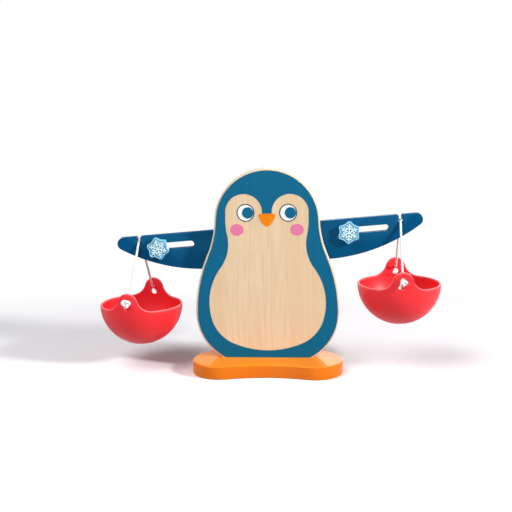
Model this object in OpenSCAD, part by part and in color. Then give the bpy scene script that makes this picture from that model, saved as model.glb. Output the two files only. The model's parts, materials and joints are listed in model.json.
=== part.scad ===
// Balance scale toy: a penguin-shaped board on a foot-shaped base carries a tilting wing beam.
// A soft pail hangs on a cord from each wing, and two snowflake knobs slide along the beam to trim it.
// Millimetres. X runs to the right, Y to the back and Z up; the origin is on the table under the board.

/* [Base] */
// Thickness of the base plate
base_t = 14.8; // [12:0.1:18]
// Distance from the board's middle plane to the front of the foot lobes
base_front = 45; // [42:0.5:50]
// Distance from the middle of the base to the centre of each foot lobe
foot_x = 52.3; // [48:0.1:56]
// Radius of each foot lobe
foot_r = 31; // [28:0.5:34]
// How far the front edge is drawn in between the lobes
foot_dip = 8; // [6:0.25:10]
// Radius of the rear corners of the base
heel_r = 44; // [40:0.5:48]
// Edge rounding of the base plate
base_edge = 1.5; // [0.5:0.1:2.5]

/* [Board] */
// Thickness of the penguin board
board_t = 14; // [12:0.5:18]
// Edge rounding of the board
board_edge = 1.8; // [1:0.1:1.9]
// Depth of the flat cut at the foot of the board
board_cut = 0.8; // [0.4:0.1:2]
// Half of the board's width across the belly
belly_half = 79.8; // [74:0.2:86]
// Height of the widest line above the foot of the board
belly_z = 52; // [48:0.5:56]
// Radius of the lower corners
corner_r = 59.8; // [56:0.2:64]
// Radius of the sides above the widest line
side_r = 164.5; // [150:0.5:180]
// Radius of the hollow under the head
waist_r = 108.5; // [90:0.5:125]
// Radius of the head
head_r = 57.8; // [54:0.2:60]
// Height of the head's centre above the foot of the board
head_z = 154.5; // [150:0.5:160]

/* [Plumage print] */
// Thickness of a printed ink layer
ink_t = 0.2; // [0.1:0.05:0.3]
// Bare margin between the print and the board's outline
print_margin = 1.9; // [1.9:0.1:3]
// Height of the bare belly patch's lowest point
patch_low = 8.9; // [7:0.1:11]
// Radius of the patch along its lower edge
patch_low_r = 95; // [85:1:105]
// Radius of the patch's lower corners
patch_corner_r = 42; // [38:0.5:46]
// Width of the printed band beside the patch, across the belly
band_w = 13.2; // [11:0.1:15]
// Height of the patch's widest line
patch_z = 63; // [60:0.5:66]
// Radius of the patch's sides
patch_side_r = 67.3; // [65:0.1:70]
// Half of the patch's width at its waist
patch_waist_half = 42.8; // [41:0.2:44]
// Radius of the patch's waist
patch_waist_r = 45; // [40:0.5:50]
// Half of the patch's width across the cheeks
patch_face_half = 45.6; // [45:0.1:47]
// Radius of the patch's sides at the cheeks
patch_face_r = 73; // [65:0.5:80]
// Sideways place of each rounded brow above an eye
brow_x = 25.4; // [24:0.1:27]
// Height of the brows' centres above the foot of the board
brow_z = 164.6; // [163:0.1:166]
// Radius of each brow
brow_r = 20.2; // [19:0.1:21]
// Height at which the plumage between the brows ends, under the beak
brow_gap_z = 162.5; // [160:0.1:163]

/* [Face] */
// Sideways place of each eye
eye_x = 23.3; // [21:0.1:25]
// Height of the eyes above the foot of the board
eye_z = 164.1; // [162:0.1:166]
// Outer radius of the ring round each eye
eye_r = 9.8; // [9:0.1:11]
// Width of the eye ring
eye_ring_w = 1.1; // [0.5:0.1:1.2]
// Radius of each pupil
pupil_r = 6.2; // [5:0.1:6.5]
// How far both pupils look to one side
pupil_shift = 2.4; // [0:0.1:2.5]
// Width of the beak along its flat top
beak_w = 19; // [16:0.2:22]
// Height of the beak
beak_h = 15; // [12:0.2:18]
// Height of the beak's flat top above the foot of the board
beak_z = 163.8; // [163:0.1:166]
// Radius of the beak's upper corners
beak_corner = 1.2; // [0.8:0.1:2]
// Radius of the beak's tip
beak_tip_r = 3; // [2:0.1:4]
// Sideways place of each cheek spot
cheek_x = 32.9; // [31:0.1:34]
// Height of the cheek spots above the foot of the board
cheek_z = 145.4; // [144:0.1:147]
// Width of a cheek spot
cheek_w = 14.8; // [12:0.1:16]
// Height of a cheek spot
cheek_h = 13; // [11:0.1:15]

/* [Beam] */
// Half of the beam's length, from the pivot's line to a wing tip
beam_half = 170.7; // [166:0.1:176]
// Thickness of the beam
beam_t = 9; // [8:0.5:12]
// Height of the beam in its middle stretch
beam_h = 43.2; // [40:0.2:48]
// Edge rounding of the beam
beam_edge = 1; // [0.5:0.1:1.5]
// Radius of each wing tip
tip_r = 7; // [6:0.1:8]
// Half of the straight stretch under the beam
wing_flat = 64; // [60:0.5:70]
// Radius of the hub round the pivot
hub_r = 16; // [14:0.5:18]
// Radius of the hollow between the hub and the straight top edge
hub_fillet = 20; // [16:0.5:24]
// Height of the pivot above the straight top edge
pivot_rise = 7; // [5:0.1:9]
// Resting tilt of the beam in degrees, left wing down
tilt = 4.75; // [0:0.05:8]

/* [Notches and slots] */
// Distance from the pivot's line to each cord notch
notch_x = 146; // [142:0.5:150]
// Width of the notch's throat
throat_w = 3.2; // [3:0.1:3.6]
// Radius of the rolled lips at the notch's mouth
lip_r = 2.2; // [1.5:0.1:2.6]
// Radius of the round seat at the notch's foot
seat_r = 3; // [2.8:0.1:3.4]
// Depth of the saddle's crown below the top edge
saddle_depth = 8; // [7.5:0.1:9]
// Height by which the seat is stretched downwards
seat_stretch = 1.6; // [1:0.1:2]
// Width of each slot for a trim knob
slot_w = 7.4; // [6.6:0.1:8]
// Depth of the slots' middle line below the top edge
slot_drop = 13.2; // [12.5:0.1:14]
// Distance from a notch to the nearer end centre of its slot
slot_start = 17; // [17:0.5:19]
// Distance between a slot's two end centres
slot_run = 41; // [38:0.5:42]

/* [Pivot] */
// Thickness of the spacer washer between board and beam
spacer_t = 1.5; // [1:0.1:3]
// Diameter of the spacer and rear washers
washer_d = 16; // [14:0.5:20]
// Thickness of the rear washer
rear_washer_t = 1.2; // [0.8:0.1:2]
// Diameter of the pivot bolt
bolt_d = 5; // [4:0.1:5.5]
// Diameter of the sleeve that the beam turns on
sleeve_d = 8; // [7:0.1:9]
// Diameter of the threaded insert in the back of the board
insert_d = 8; // [7:0.1:10]
// Length of the threaded insert
insert_len = 9; // [7:0.5:10]
// Diameter of the pivot bolt's head
bolt_head_d = 9.5; // [8.5:0.1:12]
// Height of the pivot bolt's head
bolt_head_h = 3.4; // [2.5:0.1:4]
// Width across the flats of the socket in the bolt's head
socket_w = 4; // [3:0.1:4.5]

/* [Board fixing] */
// Diameter of the screws and dowels that hold the board on the base
dowel_d = 6; // [5:0.1:8]
// Length of each dowel
dowel_len = 20; // [16:0.5:24]
// Sideways place of each dowel
dowel_x = 34; // [30:0.5:38]
// Diameter of the screw shanks
screw_d = 4; // [3:0.1:4.5]
// Diameter of the countersunk screw heads
screw_head_d = 8; // [7:0.1:9]
// Height of the countersunk cone
screw_cone = 2.4; // [1.8:0.1:3]
// Length of each screw
screw_len = 32; // [28:0.5:38]
// Sideways place of each screw
screw_x = 17; // [13:0.5:21]
// Depth of the screw heads below the base's underside
screw_sink = 0.6; // [0.3:0.1:1]

/* [Snowflake knobs] */
// Radius over the points of a snowflake
flake_r = 12.6; // [12:0.1:13]
// Radius to the hollows between the points
flake_valley = 10.7; // [10:0.1:11.2]
// Radius of the scallop between two points
scallop_r = 30; // [20:0.5:40]
// Thickness of the snowflake's plate
flake_t = 5.6; // [5:0.1:6.5]
// Width of the raised rim
rim_w = 1.2; // [0.8:0.1:1.5]
// Height of the raised rim
rim_h = 0.6; // [0.4:0.1:1]
// Height of the raised snow crystal
crystal_h = 1.1; // [0.8:0.1:1.6]
// Width of the crystal's arms
arm_w = 1.1; // [0.9:0.1:1.4]
// Length of the crystal's arms from the centre
arm_len = 9.4; // [8.5:0.1:10]
// Distance from the centre to the inner barbs of an arm
inner_barb_at = 3.6; // [3:0.1:4.2]
// Length of the inner barbs
inner_barb_len = 3.4; // [2.6:0.1:3.6]
// Distance from the centre to the outer barbs of an arm
outer_barb_at = 6.4; // [5.8:0.1:7]
// Length of the outer barbs
outer_barb_len = 2.2; // [1.6:0.1:2.6]
// Diameter of the clamp bolts
clamp_d = 4; // [3.5:0.1:4.2]
// Diameter of the threaded insert in a knob
knob_insert_d = 6.4; // [6:0.1:7]
// Length of the threaded insert in a knob
knob_insert_len = 3.6; // [3:0.1:3.8]
// Diameter of the clamp washers
clamp_washer_d = 14; // [10:0.5:16]
// Thickness of the clamp washers
clamp_washer_t = 1; // [0.8:0.1:1.6]
// Diameter of the clamp bolts' heads
clamp_head_d = 8; // [7:0.1:9]
// Height of the clamp bolts' heads
clamp_head_h = 2.4; // [2:0.1:3]
// Distance of the left knob from its notch
left_knob_at = 21.4; // [17:0.2:58]
// Distance of the right knob from its notch
right_knob_at = 57.6; // [17:0.2:58]
// Turn of the left knob in degrees
left_knob_turn = 41; // [0:1:60]
// Turn of the right knob in degrees
right_knob_turn = 23; // [0:1:60]

/* [Pails] */
// Outer radius of a pail
pail_r = 46.5; // [43:0.5:47]
// Thickness of a pail's wall
pail_wall = 2.2; // [1.8:0.1:2.8]
// Radius of the flat under a pail
pail_foot_r = 12; // [9:0.5:16]
// Height of the ears above the rim
ear_h = 20.5; // [18:0.5:22]
// Radius of an ear's top
ear_r = 11.5; // [10:0.5:13]
// Radius of the hollow between an ear and the rim
ear_fillet = 16; // [12:0.5:18]
// Height of the cord holes above the rim
hole_up = 4.2; // [3.8:0.1:6]
// Diameter of the cord holes
hole_d = 6.8; // [5.5:0.1:7.2]
// Height of the cord's seat above the centre of its hole
slit_rise = 5.6; // [5:0.1:6.6]
// Width of the slit from a hole up to the cord's seat
slit_w = 1.2; // [0.8:0.1:1.8]

/* [Cords] */
// Diameter of the cord
cord_d = 2.5; // [2.2:0.1:2.8]
// Drop from the cord's crown in a notch to its seats in the pail's ears
hang = 60.8; // [58:0.2:63]
// Bend radius of the cord where it turns into a seat
bend_r = 5.4; // [5:0.1:6.5]
// Turn of the left pail about its own upright axis in degrees
left_twist = 10; // [0:1:12]
// Turn of the right pail about its own upright axis in degrees
right_twist = 0; // [0:1:12]
// Radius of each wrap of a knot
knot_wrap_r = 2.9; // [2.5:0.1:3.2]
// Length of the cord's tail beyond a knot
tail_len = 7; // [5:0.5:10]

/* [Clearances] */
// Gap between parts that move past each other
run_gap = 0.3; // [0.2:0.05:0.4]
// Radial clearance of a pin that turns in a bore
pin_clear = 0.05; // [0.03:0.01:0.1]

/* [Hidden] */
$fn = 96;
tiny = 0.001;
over = 1;
// Largest step along an arc, in degrees, where an outline becomes points
arc_step = 5;
// Steps over each rounded edge of a plate
round_steps = 3;
cord_sides = 8;
cord_r = cord_d / 2;
crystal_arms = 6;

// Depth layout, from the board's middle plane
board_front_y = -board_t / 2;
board_back_y = board_t / 2;
beam_front_y = board_back_y + spacer_t + run_gap;
beam_y = beam_front_y + beam_t / 2;
beam_back_y = beam_front_y + beam_t;
sleeve_len = beam_t + 2 * run_gap;
rear_washer_y = board_back_y + spacer_t + sleeve_len;
bolt_head_y = rear_washer_y + rear_washer_t;
clamp_washer_y = beam_back_y + run_gap;
clamp_head_y = clamp_washer_y + clamp_washer_t;
knob_back_y = beam_front_y - run_gap;

// The board's outline starts below the base's top by the depth of its cut
board_foot_z = base_t - board_cut;
// The pivot lies at the centre of the head
pivot_z = board_foot_z + head_z;
head_bore_r = sleeve_d / 2 + pin_clear;

// Saddle in a notch and the cord's crown over it
saddle_r = beam_t / 2;
crown_r = saddle_r + run_gap + cord_r;
crown_drop = saddle_depth - run_gap - cord_r;
seat_top = crown_drop + seat_r - cord_r - run_gap / 2;

// A trim knob's bolt rests low in its slot
knob_drop = slot_drop + slot_w / 2 - clamp_d / 2 - run_gap;

// Cord seats in a pail's ears, and the pail's rim measured from the cord's crown
pail_in_r = pail_r - pail_wall;
cord_seat_r = cord_r + run_gap;
rim_drop = hang + slit_rise + hole_up;
knot_y = pail_r + run_gap + cord_r;

// Outlines as chains of arcs. An arc is [centre x, centre y, radius, first angle, last angle].
// The chain runs counter-clockwise: a rising angle bulges outwards and a falling one is a hollow.
// Straight stretches join the end of one arc to the start of the next.
function bulges(a) = a[4] > a[3] ? 1 : -1;
function on_arc(a, angle, inset = 0) = [a[0], a[1]] + (a[2] - bulges(a) * inset) * [cos(angle), sin(angle)];
function heading(p, q) = atan2(q[1] - p[1], q[0] - p[0]);
function mirrored_arc(a) = [-a[0], a[1], a[2], 180 - a[4], 180 - a[3]];
function both_sides(half) = concat(half, [for (i = [len(half) - 1:-1:0]) mirrored_arc(half[i])]);
function inset_chain(chain, d) = [for (a = chain) [a[0], a[1], a[2] - bulges(a) * d, a[3], a[4]]];
function before(chain, i) = chain[(i + len(chain) - 1) % len(chain)];
function after(chain, i) = chain[(i + 1) % len(chain)];
function joined(a, b) = norm(on_arc(a, a[4]) - on_arc(b, b[3])) < tiny;
function chain_points(chain, inset = 0) = [
    for (i = [0:len(chain) - 1])
        let (a = chain[i], n = max(1, ceil(abs(a[4] - a[3]) / arc_step)))
            for (k = [(joined(before(chain, i), a) ? 1 : 0):n])
                on_arc(a, a[3] + (a[4] - a[3]) * k / n, inset)];
// Centre of a circle that lies at given distances from two centres, to the right of the line between them
function centre_between(p, dp, q, dq) =
    let (v = q - p, l = norm(v), t = (dp * dp - dq * dq + l * l) / (2 * l), h = sqrt(dp * dp - t * t))
        p + v / l * t + [-v[1], v[0]] / l * h;

// Plate with a chain outline, lying on the XY plane. Its rings draw in as they climb over each rounded
// edge, and a fan round the middle point closes each flat face.
module rounded_plate(chain, t, edge, middle) {
    round_angles = [for (k = [0:round_steps]) 90 * k / round_steps];
    levels = concat(
        [for (a = round_angles) [edge * (1 - cos(a)), edge * (1 - sin(a))]],
        [for (a = round_angles) [t - edge * (1 - sin(a)), edge * (1 - cos(a))]]);
    n = len(chain_points(chain));
    far = n * len(levels);
    points = concat(
        [for (l = levels) each [for (p = chain_points(chain, l[1])) [p[0], p[1], l[0]]]],
        [[middle[0], middle[1], 0], [middle[0], middle[1], t]]);
    walls = [for (r = [0:len(levels) - 2], j = [0:n - 1])
        let (a = r * n + j, b = r * n + (j + 1) % n)
            each [[a, a + n, b + n], [a, b + n, b]]];
    under = [for (j = [0:n - 1]) [far, j, (j + 1) % n]];
    top = [for (j = [0:n - 1]) [far + 1, far - n + (j + 1) % n, far - n + j]];
    polyhedron(points, concat(walls, under, top));
}

// Base plate outline in plan, front half-waist first
foot_y = foot_r - base_front;
dip_r = let (d = foot_r - foot_dip) (foot_x * foot_x + d * d - foot_r * foot_r) / (2 * foot_dip);
dip_c = [0, foot_dip - base_front - dip_r];
foot_c = [foot_x, foot_y];
heel_c = [foot_x + foot_r - heel_r, foot_y];
base_chain = both_sides([
    [dip_c[0], dip_c[1], dip_r, 90, heading(dip_c, foot_c)],
    [foot_c[0], foot_c[1], foot_r, heading(foot_c, dip_c), 0],
    [heel_c[0], heel_c[1], heel_r, 0, 90]]);

// Board outline, in the board's own plane with its foot at 0
head_c = [0, head_z];
corner_c = [belly_half - corner_r, belly_z];
side_c = [belly_half - side_r, belly_z];
waist_c = centre_between(head_c, head_r + waist_r, side_c, side_r + waist_r);
board_chain = both_sides([
    [corner_c[0], corner_c[1], corner_r, -90, 0],
    [side_c[0], side_c[1], side_r, 0, heading(side_c, waist_c)],
    [waist_c[0], waist_c[1], waist_r, heading(side_c, waist_c) + 180, heading(head_c, waist_c) + 180],
    [head_c[0], head_c[1], head_r, heading(head_c, waist_c), 90]]);

// Outline of the bare belly and face patch, up to the brows
patch_half = belly_half - print_margin - band_w;
low_c = [0, patch_low + patch_low_r];
flank_c = [patch_half - patch_side_r, patch_z];
jowl_c = centre_between(low_c, patch_low_r - patch_corner_r, flank_c, patch_side_r - patch_corner_r);
neck_dx = patch_waist_half + patch_waist_r - flank_c[0];
neck_c = [patch_waist_half + patch_waist_r,
    patch_z + sqrt(pow(patch_side_r + patch_waist_r, 2) - neck_dx * neck_dx)];
face_dx = neck_c[0] - patch_face_half + patch_face_r;
face_c = [patch_face_half - patch_face_r,
    neck_c[1] + sqrt(pow(patch_face_r + patch_waist_r, 2) - face_dx * face_dx)];
patch_chain = both_sides([
    [low_c[0], low_c[1], patch_low_r, -90, heading(low_c, jowl_c)],
    [jowl_c[0], jowl_c[1], patch_corner_r, heading(low_c, jowl_c), heading(flank_c, jowl_c)],
    [flank_c[0], flank_c[1], patch_side_r, heading(flank_c, jowl_c), heading(flank_c, neck_c)],
    [neck_c[0], neck_c[1], patch_waist_r, heading(flank_c, neck_c) + 180, heading(face_c, neck_c) + 180],
    [face_c[0], face_c[1], patch_face_r, heading(face_c, neck_c), 0],
    [patch_face_half - over, brow_gap_z - over, over, 0, 90]]);

// Beak outline: a triangle with a flat top, rounded at its three corners
beak_tip_c = [0, beak_z - beak_h + beak_tip_r];
beak_corner_c = [beak_w / 2 - beak_corner, beak_z - beak_corner];
beak_side = heading(beak_tip_c, beak_corner_c)
    - acos((beak_tip_r - beak_corner) / norm(beak_corner_c - beak_tip_c));
beak_chain = both_sides([
    [beak_tip_c[0], beak_tip_c[1], beak_tip_r, -90, beak_side],
    [beak_corner_c[0], beak_corner_c[1], beak_corner, beak_side, 90]]);

// Beam outline, with its straight top edge at 0
tip_c = [beam_half - tip_r, -tip_r];
wing_dx = tip_c[0] - wing_flat;
wing_drop = beam_h - tip_r;
wing_r = (wing_dx * wing_dx + wing_drop * wing_drop - tip_r * tip_r) / (2 * (wing_drop - tip_r));
wing_c = [wing_flat, wing_r - beam_h];
hub_c = [0, pivot_rise];
fillet_c = [sqrt(pow(hub_r + hub_fillet, 2) - pow(hub_fillet - pivot_rise, 2)), hub_fillet];
beam_chain = both_sides([
    [wing_c[0], wing_c[1], wing_r, -90, heading(wing_c, tip_c)],
    [tip_c[0], tip_c[1], tip_r, heading(wing_c, tip_c), 90],
    [fillet_c[0], fillet_c[1], hub_fillet, 270, heading(hub_c, fillet_c) + 180],
    [hub_c[0], hub_c[1], hub_r, heading(hub_c, fillet_c), 90]]);

// Frames
// Drawing plane upright: x stays, y becomes height and z comes out of the front at depth y
module upright(y) {
    translate([0, y, 0])
        rotate([90, 0, 0])
            children();
}

// The board's plane, with its foot on the base
module on_board(y) {
    translate([0, 0, board_foot_z])
        upright(y)
            children();
}

// A flat ink layer on the board's front, a number of layers up
module ink(layer = 0) {
    on_board(board_front_y - layer * ink_t)
        linear_extrude(ink_t)
            children();
}

// The tilted beam, with its straight top edge at height 0
module on_beam() {
    translate([0, 0, pivot_z])
        rotate([0, -tilt, 0])
            translate([0, 0, -pivot_rise])
                children();
}

// A cord's crown in the notch of one side, hanging plumb and twisted about its own upright axis
function crown(side) = [
    side * notch_x * cos(tilt) + (crown_drop + pivot_rise) * sin(tilt),
    beam_y,
    pivot_z + side * notch_x * sin(tilt) - (crown_drop + pivot_rise) * cos(tilt)];

module on_sling(side, twist) {
    translate(crown(side))
        rotate([0, 0, -twist])
            children();
}

// Round bar along Y, from one depth to another
module bar_y(y0, y1, d) {
    translate([0, y1, 0])
        rotate([90, 0, 0])
            cylinder(h = y1 - y0, d = d);
}

// Stand
module base_plate() {
    color("orange")
        difference() {
            rounded_plate(base_chain, base_t, base_edge, [0, 0]);
            for (x = [-screw_x, screw_x])
                translate([x, 0, 0]) {
                    translate([0, 0, -over])
                        cylinder(h = base_t + 2 * over, d = screw_d);
                    translate([0, 0, -over])
                        cylinder(h = screw_sink + over, d = screw_head_d);
                    translate([0, 0, screw_sink])
                        cylinder(h = screw_cone, d1 = screw_head_d, d2 = screw_d);
                }
            for (x = [-dowel_x, dowel_x])
                translate([x, 0, base_t - dowel_len / 2])
                    cylinder(h = dowel_len, d = dowel_d);
        }
}

module body_board() {
    color("burlywood")
        difference() {
            on_board(board_back_y)
                rounded_plate(board_chain, board_t, board_edge, [0, 2 * belly_z]);
            translate([-belly_half, -board_t, base_t - corner_r])
                cube([2 * belly_half, 2 * board_t, corner_r]);
            for (x = [-screw_x, screw_x])
                translate([x, 0, screw_sink])
                    cylinder(h = screw_len, d = screw_d);
            for (x = [-dowel_x, dowel_x])
                translate([x, 0, base_t - dowel_len / 2])
                    cylinder(h = dowel_len, d = dowel_d);
            translate([0, 0, pivot_z])
                bar_y(board_back_y - insert_len, board_back_y + over, insert_d);
        }
}

module plumage_print() {
    color("#196e9b")
        intersection() {
            ink()
                difference() {
                    polygon(chain_points(inset_chain(board_chain, print_margin)));
                    polygon(chain_points(patch_chain));
                    for (x = [-brow_x, brow_x])
                        translate([x, brow_z])
                            circle(brow_r);
                }
            translate([-belly_half, -board_t, base_t])
                cube([2 * belly_half, 2 * board_t, head_z + 2 * head_r]);
        }
}

module eye_whites() {
    color("white")
        ink()
            for (x = [-eye_x, eye_x])
                translate([x, eye_z])
                    circle(eye_r - eye_ring_w);
}

module eye_rings() {
    color("#0f3a5c")
        ink()
            for (x = [-eye_x, eye_x])
                translate([x, eye_z])
                    difference() {
                        circle(eye_r);
                        circle(eye_r - eye_ring_w);
                    }
}

module pupils() {
    color("#196e9b")
        ink(1)
            for (x = [-eye_x, eye_x])
                translate([x + pupil_shift, eye_z])
                    circle(pupil_r);
}

module beak_print() {
    color("#ff910f")
        ink(1)
            polygon(chain_points(beak_chain));
}

module cheek_prints() {
    color("#f082b9")
        ink()
            for (x = [-cheek_x, cheek_x])
                translate([x, cheek_z])
                    polygon([for (a = [0:arc_step * 2:359]) [cheek_w / 2 * cos(a), cheek_h / 2 * sin(a)]]);
}

module base_screws() {
    color("silver")
        for (x = [-screw_x, screw_x])
            translate([x, 0, screw_sink])
                difference() {
                    union() {
                        cylinder(h = screw_cone, d1 = screw_head_d, d2 = screw_d);
                        cylinder(h = screw_len, d = screw_d);
                    }
                    translate([0, 0, -tiny])
                        cylinder(h = screw_cone, d = screw_d / 2, $fn = 6);
                }
}

module base_dowels() {
    color("tan")
        for (x = [-dowel_x, dowel_x])
            translate([x, 0, base_t - dowel_len / 2])
                cylinder(h = dowel_len, d = dowel_d);
}

// Pivot
module pivot_insert() {
    color("goldenrod")
        translate([0, 0, pivot_z])
            difference() {
                bar_y(board_back_y - insert_len, board_back_y, insert_d);
                bar_y(board_back_y - insert_len + over, board_back_y + over, bolt_d);
            }
}

module pivot_bolt() {
    color("silver")
        translate([0, 0, pivot_z])
            difference() {
                union() {
                    bar_y(board_back_y - insert_len + over, bolt_head_y + tiny, bolt_d);
                    bar_y(bolt_head_y, bolt_head_y + bolt_head_h, bolt_head_d);
                }
                translate([0, bolt_head_y + bolt_head_h + over, 0])
                    rotate([90, 0, 0])
                        cylinder(h = bolt_head_h / 2 + over, d = socket_w / cos(30), $fn = 6);
            }
}

module washer(y, t, d, hole) {
    difference() {
        bar_y(y, y + t, d);
        bar_y(y - over, y + t + over, hole);
    }
}

module pivot_sleeve() {
    color("silver")
        translate([0, 0, pivot_z])
            washer(board_back_y + spacer_t, sleeve_len, sleeve_d, bolt_d);
}

module spacer_washer() {
    color("silver")
        translate([0, 0, pivot_z])
            washer(board_back_y, spacer_t, washer_d, bolt_d);
}

module rear_washer() {
    color("silver")
        translate([0, 0, pivot_z])
            washer(rear_washer_y, rear_washer_t, washer_d, bolt_d);
}

// Beam
// Keyhole notch with rolled lips; its floor is a saddle, round from front to back
module notch() {
    difference() {
        upright(beam_back_y + over)
            linear_extrude(beam_t + 2 * over) {
                translate([-throat_w / 2, -seat_top])
                    square([throat_w, seat_top + over]);
                for (y = [-seat_top, -seat_top - seat_stretch])
                    translate([0, y])
                        circle(seat_r);
                translate([-seat_r, -seat_top - seat_stretch])
                    square([2 * seat_r, seat_stretch]);
                difference() {
                    translate([-throat_w / 2 - lip_r, -lip_r])
                        square([throat_w + 2 * lip_r, lip_r + over]);
                    for (side = [-1, 1])
                        translate([side * (throat_w / 2 + lip_r), -lip_r])
                            circle(lip_r);
                }
            }
        translate([-2 * seat_r, beam_y, -saddle_depth - saddle_r])
            rotate([0, 90, 0])
                cylinder(h = 4 * seat_r, r = saddle_r);
    }
}

module slot() {
    for (x = [0, slot_run])
        translate([x, 0, 0])
            bar_y(beam_front_y - over, beam_back_y + over, slot_w);
    translate([0, beam_front_y - over, -slot_w / 2])
        cube([slot_run, beam_t + 2 * over, slot_w]);
}

module beam() {
    color("#00588c")
        on_beam()
            difference() {
                upright(beam_back_y)
                    rounded_plate(beam_chain, beam_t, beam_edge, [0, -beam_h / 2]);
                translate([0, 0, pivot_rise])
                    bar_y(beam_front_y - over, beam_back_y + over, 2 * head_bore_r);
                for (side = [-1, 1])
                    translate([side * notch_x, 0, 0])
                        notch();
                for (x = [-notch_x + slot_start, notch_x - slot_start - slot_run])
                    translate([x, 0, -slot_drop])
                        slot();
            }
}

// Trim knobs
module on_knob(x) {
    on_beam()
        translate([x, 0, -knob_drop])
            children();
}

left_knob_x = left_knob_at - notch_x;
right_knob_x = notch_x - right_knob_at;

module clamp_bolt(x) {
    color("silver")
        on_knob(x) {
            bar_y(knob_back_y - knob_insert_len, clamp_head_y + tiny, clamp_d);
            bar_y(clamp_head_y, clamp_head_y + clamp_head_h, clamp_head_d);
        }
}

module clamp_washer(x) {
    color("silver")
        on_knob(x)
            washer(clamp_washer_y, clamp_washer_t, clamp_washer_d, clamp_d);
}

module knob_insert(x) {
    color("goldenrod")
        on_knob(x)
            washer(knob_back_y - knob_insert_len, knob_insert_len, knob_insert_d, clamp_d + 2 * pin_clear);
}

// Six-pointed outline with scalloped sides, drawn in by an inset
module flake_outline(inset = 0) {
    difference() {
        circle(flake_r - inset);
        for (k = [0:crystal_arms - 1])
            rotate(k * 360 / crystal_arms)
                translate([flake_valley + scallop_r, 0])
                    circle(scallop_r + inset);
    }
}

// Snow crystal: six arms, each with an inner and an outer pair of barbs
module crystal() {
    for (k = [0:crystal_arms - 1])
        rotate(k * 360 / crystal_arms) {
            translate([0, -arm_w / 2])
                square([arm_len, arm_w]);
            for (barb = [[inner_barb_at, inner_barb_len], [outer_barb_at, outer_barb_len]])
                translate([barb[0], 0])
                    for (lean = [-60, 60])
                        rotate(lean)
                            translate([0, -arm_w / 2])
                                square([barb[1], arm_w]);
        }
}

module snowflake(x, turn) {
    color("#a5d3ee")
        on_knob(x)
            upright(knob_back_y)
                rotate([0, 0, turn])
                    difference() {
                        union() {
                            rotate([0, 0, 30]) {
                                linear_extrude(flake_t)
                                    flake_outline();
                                linear_extrude(flake_t + rim_h)
                                    difference() {
                                        flake_outline();
                                        flake_outline(rim_w);
                                    }
                            }
                            linear_extrude(flake_t + crystal_h)
                                crystal();
                        }
                        translate([0, 0, -over])
                            cylinder(h = knob_insert_len + over, d = knob_insert_d);
                    }
}

// Pails and cords
// Half section of the pail's wall, with the rim line at height 0
module pail_shape(r, floor_z) {
    intersection() {
        union() {
            circle(r);
            translate([0, 0])
                square([r, ear_h]);
        }
        translate([0, floor_z])
            square([r, ear_h - floor_z]);
    }
}

// Ear outline above the rim line, with hollows running into the rim
ear_c = [0, ear_h - ear_r];
ear_fillet_c = [sqrt(pow(ear_r + ear_fillet, 2) - pow(ear_fillet - ear_c[1], 2)), ear_fillet];
ear_chain = both_sides([
    [ear_fillet_c[0], ear_fillet_c[1], ear_fillet, 270, heading(ear_c, ear_fillet_c) + 180],
    [ear_c[0], ear_c[1], ear_r, heading(ear_c, ear_fillet_c), 90]]);
foot_drop = sqrt(pail_r * pail_r - pail_foot_r * pail_foot_r);

module pail(side, twist) {
    color("#f0323c")
        on_sling(side, twist)
            translate([0, 0, -rim_drop])
                difference() {
                    rotate_extrude()
                        difference() {
                            pail_shape(pail_r, -foot_drop);
                            translate([0, tiny])
                                pail_shape(pail_in_r, pail_wall - foot_drop);
                        }
                    upright(pail_r + over)
                        linear_extrude(2 * (pail_r + over))
                            difference() {
                                translate([-pail_r - over, 0])
                                    square([2 * (pail_r + over), ear_h + over]);
                                polygon(chain_points(ear_chain));
                            }
                    translate([0, 0, hole_up])
                        cord_keyholes();
                }
}

// Keyholes through both ears: a round hole, and a narrow slit up to the cord's seat
module cord_keyholes() {
    bar_y(-pail_r - over, pail_r + over, hole_d);
    translate([0, 0, slit_rise])
        bar_y(-pail_r - over, pail_r + over, 2 * cord_seat_r);
    translate([-slit_w / 2, -pail_r - over, 0])
        cube([slit_w, 2 * (pail_r + over), slit_rise]);
}

// Half of a cord's route in the plane of its pail's ears, as [outwards, up] from the crown:
// over the saddle, down a straight strand, and round into the seat
turn_c = [pail_in_r - cord_r, bend_r - hang];
crown_c = [0, -crown_r];
strand_dir = heading(crown_c, turn_c) - asin((crown_r + bend_r) / norm(turn_c - crown_c));
crown_steps = 6;
strand_steps = 9;
turn_steps = 5;
function at(c, r, angle) = c + r * [cos(angle), sin(angle)];
strand_top = at(crown_c, crown_r, strand_dir + 90);
strand_foot = at(turn_c, bend_r, strand_dir - 90);
half_route = concat(
    [for (k = [0:crown_steps]) at(crown_c, crown_r, 90 + strand_dir * k / crown_steps)],
    [for (k = [1:strand_steps]) strand_top + (strand_foot - strand_top) * k / strand_steps],
    [for (k = [1:turn_steps]) at(turn_c, bend_r, strand_dir - 90 - strand_dir * k / turn_steps)],
    [[knot_y, -hang]]);
last_point = len(half_route) - 1;
route = concat(
    [for (k = [last_point:-1:1]) [-half_route[k][0], half_route[k][1]]],
    half_route);

// Tube swept along the route by rings square to its direction
function ring(k) =
    let (p = route[max(k - 1, 0)], q = route[min(k + 1, len(route) - 1)], d = (q - p) / norm(q - p))
        [for (j = [0:cord_sides - 1])
            let (a = 360 * j / cord_sides, across = cord_r * cos(a), rise = cord_r * sin(a))
                [across, route[k][0] - rise * d[1], route[k][1] + rise * d[0]]];

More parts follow.
